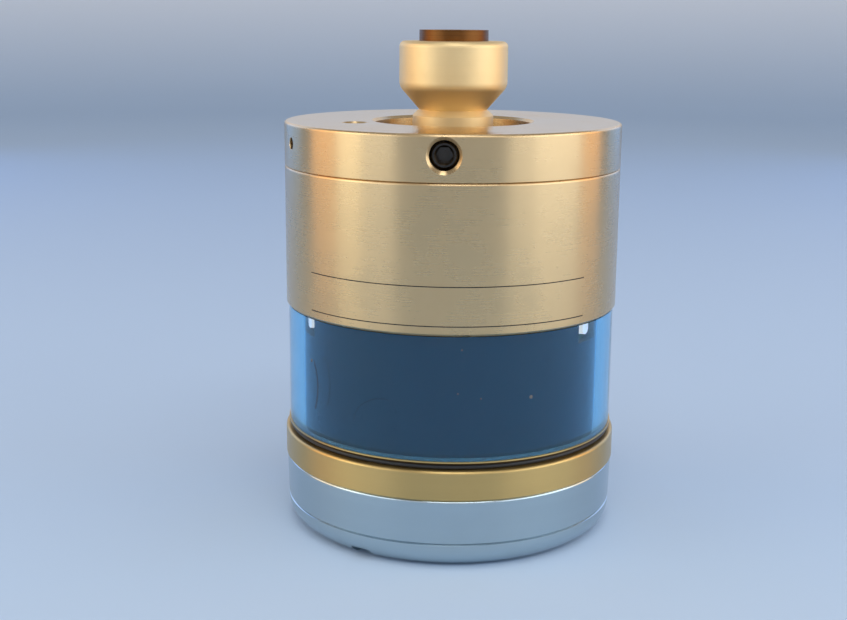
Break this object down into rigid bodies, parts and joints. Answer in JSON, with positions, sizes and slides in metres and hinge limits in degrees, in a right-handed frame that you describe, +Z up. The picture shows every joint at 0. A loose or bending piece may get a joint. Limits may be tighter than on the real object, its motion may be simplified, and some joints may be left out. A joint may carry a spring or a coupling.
{
  "type": "touch probe",
  "caption": "Cylindrical radio touch probe with a tinted window, a stud on top, a sprung tilting stylus holder on a kinematic seat and a battery cassette.",
  "frame": {"origin": "centre of the bottom face of the front cover, on which the probe stands", "axes": "+Z up along the probe's axis to the stud, -Y to the front, where a centring screw shows, +Y to the battery cassette"},
  "size_m": [0.0632, 0.0632, 0.0925],
  "materials": {
    "satin_steel": "brushed, warm satin",
    "gold_steel": "fine turned, warm gold tint",
    "bronze": "dark, aged",
    "black_steel": "black oxide",
    "blue_window": "clear, blue tint, gloss",
    "black_rubber": "matt",
    "navy_plastic": "dark navy, smooth",
    "led_lens": "milky white",
    "board_green": "solder mask",
    "chip_black": "moulded",
    "copper_foil": "bright foil",
    "ring_gold": "turned, olive gold tint",
    "cover_steel": "brushed, cool steel",
    "bare_aluminium": "machined",
    "mechanism_steel": "fine turned",
    "polished_steel": "polished",
    "contact_brass": "bright",
    "battery_blue": "sleeved"
  },
  "bodies": {
    "housing": {"top_cap": "satin_steel", "cap_seal": "black_rubber", "barrel": "satin_steel", "shank_stud": "gold_steel", "stud_stem": "bronze", "centring_screws": "black_steel", "lock_screw": "black_steel", "window": "blue_window", "window_upper_seal": "black_rubber", "window_lower_seal": "black_rubber", "core_sleeve": "navy_plastic", "status_leds": "led_lens", "circuit_board": "board_green", "circuit_chips": "chip_black", "antenna": "copper_foil", "lower_ring": "ring_gold", "front_cover": "cover_steel", "front_cover_seal": "black_rubber", "diaphragm": "black_rubber", "diaphragm_ring": "bare_aluminium", "sensor_plate": "mechanism_steel", "strain_gauges": "copper_foil", "seat_ring": "mechanism_steel", "seat_balls": "polished_steel", "chassis": "bare_aluminium", "chassis_screws": "black_steel", "spring_retainer": "mechanism_steel", "main_spring": "polished_steel", "battery_contacts": "contact_brass"},
    "plunger": {"plunger": "contact_brass"},
    "thrust_ball": {"thrust_ball": "polished_steel"},
    "carrier": {"stylus_carrier": "mechanism_steel", "carrier_rollers": "polished_steel", "stylus_holder": "mechanism_steel", "diaphragm_nut": "mechanism_steel"},
    "cassette": {"battery_cassette": "satin_steel", "batteries": "battery_blue", "battery_strap": "contact_brass", "cassette_seal": "black_rubber", "cassette_screws": "black_steel"}
  },
  "joints": [
    {"name": "stylus_retract", "type": "slide", "parent": "housing", "child": "plunger", "axis": [0, 0, 1], "range_m": [0, 0.011], "stiffness_N_per_m": 500, "springref_m": -0.015, "deforming": ["main_spring", "diaphragm"]},
    {"name": "stylus_tilt_x", "type": "hinge", "parent": "plunger", "child": "thrust_ball", "pos_m": [0, 0, 0.018], "axis": [1, 0, 0], "range_deg": [-15, 15], "stiffness_Nm_per_rad": 0.5, "deforming": ["diaphragm"]},
    {"name": "stylus_tilt_y", "type": "hinge", "parent": "thrust_ball", "child": "carrier", "pos_m": [0, 0, 0.018], "axis": [0, 1, 0], "range_deg": [-15, 15], "stiffness_Nm_per_rad": 0.5, "deforming": ["diaphragm"]},
    {"name": "cassette_slide", "type": "slide", "parent": "housing", "child": "cassette", "axis": [0, 1, 0], "range_m": [0, 0.055]}
  ]
}
